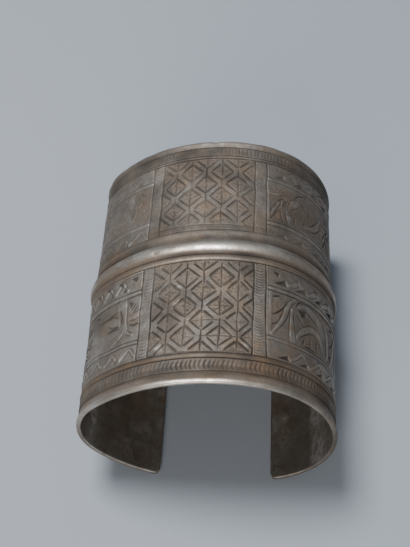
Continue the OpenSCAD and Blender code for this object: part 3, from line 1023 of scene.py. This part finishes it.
def times(tree, a, b, clamp=False):
    return maths(tree, "MULTIPLY", a, b, clamp)


def blendColor(tree, share, a, b):
    n = node(tree, "ShaderNodeMix", data_type="RGBA")
    for k, value in ((0, share), (6, a), (7, b)):
        feed(tree, n.inputs[k], value)
    return n.outputs[2]


def ramp(tree, value, low, high):
    n = node(tree, "ShaderNodeMapRange")
    n.inputs["From Min"].default_value, n.inputs["From Max"].default_value = low, high
    tree.links.new(value, n.inputs["Value"])
    return n.outputs[0]


def clouds(tree, vector, scale, detail, rough):
    n = node(tree, "ShaderNodeTexNoise", Scale=scale, Detail=detail, Roughness=rough)
    tree.links.new(vector, n.inputs["Vector"])
    return n.outputs[0]


# Clouds of the tarnish and grain: how fine, detail, roughness, and the range between none and full
grades = {
    "patches": (95, 5, 0.6, 0.36, 0.66), "mottle": (520, 4, 0.6, 0.38, 0.62),
    "warm": (150, 3, 0.5, 0.45, 0.7), "pits": (1500, 3, 0.6, 0.35, 0.65),
    "scratch": (1, 2, 0.5, 0.42, 0.6),
}
# below, grime is the dirt mark with its painted shade, and wear brings painted highlights too
tarnishing = {
    "warm": (0.26, 0.19, 0.13), "golden": (0.24, 0.155, 0.09), "earthy": (0.135, 0.105, 0.08),
    "wearBrightens": 0.85, "mottleDims": 0.4, "patchesWarm": 0.8, "warmAnyway": 0.28,
    "brightCools": 0.6, "mottledGold": 0.35, "leastGold": 0.3, "earthShare": 0.62,
    "grimeShare": 1.05, "patchesHoldGrime": 0.25,
    "brightPolish": 0.42, "grimeRoughens": 0.2, "metal": 0.95, "grimeHidesMetal": 0.6,
    "earthHidesMetal": 0.4,
}


def graded(tree, vector, name):
    fine, detail, rough, low, high = grades[name]
    return ramp(tree, clouds(tree, vector, fine, detail, rough), low, high)


def newGroup(name, inputs, outputs):
    # each kind of socket comes with the names of its sockets
    group = bpy.data.node_groups.new(name, "ShaderNodeTree")
    for direction, sockets in (("INPUT", inputs), ("OUTPUT", outputs)):
        for kind, labels in sockets:
            for label in labels.split():
                group.interface.new_socket(label, in_out=direction, socket_type="NodeSocket" + kind)
    return group, node(group, "NodeGroupInput"), node(group, "NodeGroupOutput")


def makeTarnish():
    # darkens hollows, ground and painted shade, leaves worn places and painted highlights bright, and
    # clouds the rest
    g, given, out = newGroup(
        "tarnish",
        [("Vector", "Place"), ("Float", "Dirt Ground Wear Rust Matte Patchy"),
         ("Color", "Clean Dull Filth")],
        [("Color", "Color"), ("Float", "Roughness Metal")])
    place, dirt, ground, wear, rust, matte, patchy, clean, dull, filth_and_shade = list(given.outputs)[:10]
    t = tarnishing
    patches, mottle, warm = [graded(g, place, name) for name in ("patches", "mottle", "warm")]
    bright = plus(g, times(g, wear, t["wearBrightens"]), times(g, patches, patchy), True)
    mottled = plus(g, times(g, mottle, t["mottleDims"]), 1 - t["mottleDims"])
    bright = times(g, bright, mottled, True)
    base = blendColor(g, bright, dull, clean)
    warmth = plus(g, times(g, patchy, t["patchesWarm"]), t["warmAnyway"])
    warmth = times(g, warmth, minus(g, 1, times(g, bright, t["brightCools"])))
    toned = blendColor(g, times(g, warm, warmth), base, t["warm"])
    golden = times(g, rust, plus(g, times(g, mottle, t["mottledGold"]), t["leastGold"]), True)
    toned = blendColor(g, golden, toned, t["golden"])
    earthy = times(g, ground, t["earthShare"])
    toned = blendColor(g, earthy, toned, t["earthy"])
    held = minus(g, t["grimeShare"], times(g, patches, t["patchesHoldGrime"]))
    grime_and_shade = times(g, dirt, held, True)
    g.links.new(blendColor(g, grime_and_shade, toned, filth_and_shade), out.inputs["Color"])
    gloss = minus(g, matte, times(g, bright, t["brightPolish"]))
    rough = plus(g, gloss, times(g, grime_and_shade, t["grimeRoughens"]), True)
    g.links.new(rough, out.inputs["Roughness"])
    metal = minus(g, t["metal"], times(g, grime_and_shade, t["grimeHidesMetal"]))
    metal = minus(g, metal, times(g, earthy, t["earthHidesMetal"]), True)
    g.links.new(metal, out.inputs["Metal"])
    return g


def makeHandGrain():
    # fine pits and scratches of long wear
    g, given, out = newGroup("handGrain", [("Vector", "Place"), ("Float", "Wear")],
                             [("Float", "Height")])
    place, wear = list(given.outputs)[:2]
    pits = graded(g, place, "pits")
    stretch = node(g, "ShaderNodeMapping", Scale=(260, 2600, 260), Rotation=(0.3, 0.2, 0.6))
    g.links.new(place, stretch.inputs["Vector"])
    scratch = graded(g, stretch.outputs[0], "scratch")
    dents = clouds(g, place, 330, 2, 0.5)
    total = plus(g, plus(g, times(g, pits, 0.6), times(g, scratch, 0.08)), times(g, dents, 1.2))
    smooth = minus(g, 1, times(g, wear, 0.8))
    g.links.new(times(g, total, smooth), out.inputs["Height"])
    return g


tarnishGroup, grainGroup = makeTarnish(), makeHandGrain()

finishes = {
    # the clean colour serves worn places and painted highlights, the darkest one dirt and painted shade
    "chasedSilver": {"Clean": (0.80, 0.75, 0.67), "Dull": (0.086, 0.073, 0.062),
                     "Filth": (0.018, 0.014, 0.011), "Matte": 0.67, "Patchy": 0.14},
    # the inner silver is a lighter copy: its dull colour is raised as painted light for the inside of
    # the cuff
    "innerLitSilver": {"Clean": (0.72, 0.66, 0.58), "Dull": (0.15, 0.13, 0.11),
                    "Filth": (0.03, 0.025, 0.02), "Matte": 0.56, "Patchy": 0.55},
}


def silver(name):
    m = bpy.data.materials.new(name)
    m.use_nodes = True
    t = m.node_tree
    shader = t.nodes["Principled BSDF"]
    coords = node(t, "ShaderNodeTexCoord")
    tarnish = node(t, "ShaderNodeGroup", node_tree=tarnishGroup)
    grain = node(t, "ShaderNodeGroup", node_tree=grainGroup)
    for group in (tarnish, grain):
        t.links.new(coords.outputs["Object"], group.inputs["Place"])
    for key in ("Dirt", "Ground", "Wear", "Rust"):
        mark = node(t, "ShaderNodeAttribute", attribute_name=key.lower())
        t.links.new(mark.outputs["Fac"], tarnish.inputs[key])
        if key == "Wear":
            t.links.new(mark.outputs["Fac"], grain.inputs[key])
    for key, value in finishes[name].items():
        feed(t, tarnish.inputs[key], value)
    for output, socket in (("Color", "Base Color"), ("Roughness", "Roughness"), ("Metal", "Metallic")):
        t.links.new(tarnish.outputs[output], shader.inputs[socket])
    relief = node(t, "ShaderNodeBump", Strength=0.8, Distance=0.00006)
    t.links.new(grain.outputs["Height"], relief.inputs["Height"])
    t.links.new(relief.outputs["Normal"], shader.inputs["Normal"])
    return m


# The camera was fitted to the photograph: focal length in pixels and place in millimetres
view = {"focal": 1050, "width": 547, "at": (4.4232, -161.0821, 248.7187),
        "yaw": -0.04114, "pitch": 0.91872, "roll": 0.00825}


def makeCamera():
    yaw, pitch, roll = view["yaw"], view["pitch"], view["roll"]
    ahead = Vector((math.sin(yaw) * math.cos(pitch), math.cos(yaw) * math.cos(pitch), -math.sin(pitch)))
    side = Vector((math.cos(yaw), -math.sin(yaw), 0))
    over = side.cross(ahead)
    right = math.cos(roll) * side + math.sin(roll) * over
    top = -math.sin(roll) * side + math.cos(roll) * over
    turn = Matrix((right, top, -ahead)).transposed().to_4x4()
    data = bpy.data.cameras.new("photoView")
    data.sensor_width = 36
    data.lens = view["focal"] * 36 / view["width"]
    data.clip_start = 0.01
    camera = bpy.data.objects.new("photoView", data)
    camera.matrix_world = Matrix.Translation(Vector(view["at"]) * mm) @ turn
    bpy.context.scene.collection.objects.link(camera)
    bpy.context.scene.camera = camera


# The plain stage: lamps are placed in metres and look at the cuff
studio = {
    "floorSize": 0.9, "floorColor": (0.285, 0.313, 0.352), "floorRoughness": 0.8,
    "skyColor": (0.72, 0.78, 0.88), "skyStrength": 0.3,
    "lamps": {
        "skySoftBox": {"at": (-0.2, 0.1, 0.72), "size": 0.28, "power": 7.5, "color": (0.97, 0.98, 1)},
        "lowFront": {"at": (-0.15, -0.74, 0.3), "size": 0.5, "power": 5.1, "color": (1, 0.95, 0.88)}},
    "lookAt": (0, 0, 0.02),
}


def addLamp(name, lamp):
    data = bpy.data.lights.new(name, "AREA")
    data.shape, data.size, data.energy, data.color = "DISK", lamp["size"], lamp["power"], lamp["color"]
    holder = bpy.data.objects.new(name, data)
    holder.location = lamp["at"]
    aim = Vector(studio["lookAt"]) - Vector(lamp["at"])
    holder.rotation_euler = aim.to_track_quat("-Z", "Y").to_euler()
    bpy.context.scene.collection.objects.link(holder)


def makeStage():
    bm = bmesh.new()
    bmesh.ops.create_grid(bm, x_segments=1, y_segments=1, size=studio["floorSize"])
    mesh = bpy.data.meshes.new("floor")
    bm.to_mesh(mesh)
    bm.free()
    floor = bpy.data.objects.new("floor", mesh)
    bpy.context.scene.collection.objects.link(floor)
    m = bpy.data.materials.new("paleBoard")
    m.use_nodes = True
    board = m.node_tree.nodes["Principled BSDF"]
    board.inputs["Base Color"].default_value = (*studio["floorColor"], 1)
    board.inputs["Roughness"].default_value = studio["floorRoughness"]
    mesh.materials.append(m)
    world = bpy.data.worlds.new("studio")
    world.use_nodes = True
    sky = world.node_tree.nodes["Background"]
    sky.inputs["Color"].default_value = (*studio["skyColor"], 1)
    sky.inputs["Strength"].default_value = studio["skyStrength"]
    bpy.context.scene.world = world
    for name, lamp in studio["lamps"].items():
        addLamp(name, lamp)


outerSilver, innerLitSilver = silver("chasedSilver"), silver("innerLitSilver")
makeCamera()
makeStage()
makeBody([outerSilver, innerLitSilver])
print("body made")

for level in ("lower", "upper"):
    work = levelWork(level)
    for part in ("Lattice", "LeftBand", "RightBand"):
        makePanel(level + part, work, [outerSilver])
    print(level, "panels made")

work = borderWork()
for name in ("nearBorder", "farBorder"):
    makePanel(name, work, [outerSilver])
print("borders made")
